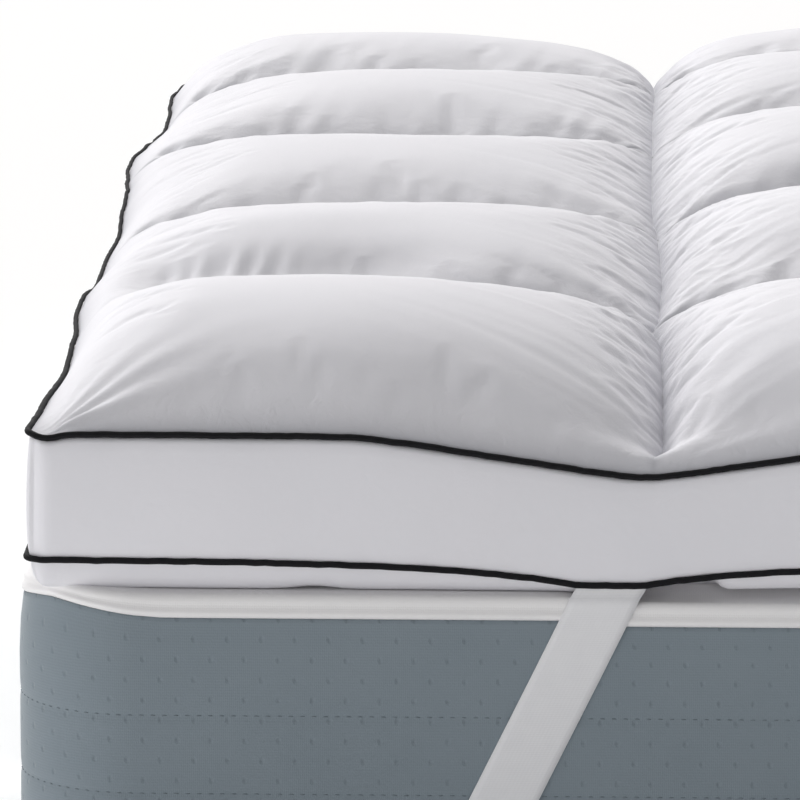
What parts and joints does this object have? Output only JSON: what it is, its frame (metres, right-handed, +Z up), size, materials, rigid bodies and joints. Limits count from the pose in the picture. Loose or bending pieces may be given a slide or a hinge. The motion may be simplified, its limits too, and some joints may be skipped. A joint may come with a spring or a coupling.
{
  "type": "mattress topper on mattress",
  "caption": "Boxed mattress topper with filled pockets and dark piping, held by corner straps on a plain mattress.",
  "frame": {"origin": "under the middle of the mattress, on the surface that it stands on", "axes": "+X across the bed, +Y along the bed, +Z up"},
  "size_m": [1.5236, 2.0236, 0.4819],
  "materials": {
    "white_cotton": "smooth matte downproof cotton",
    "charcoal_piping": "twill-covered cord",
    "white_elastic": "flat woven elastic",
    "grey_ticking": "knitted and quilted mattress border",
    "white_ticking": "knitted mattress panel"
  },
  "bodies": {
    "root": {"topper_body": "white_cotton", "top_piping": "charcoal_piping", "bottom_piping": "charcoal_piping", "strap_front_left": "white_elastic", "strap_front_right": "white_elastic", "strap_back_left": "white_elastic", "strap_back_right": "white_elastic", "mattress_border": "grey_ticking", "mattress_panel": "white_ticking"}
  },
  "joints": []
}
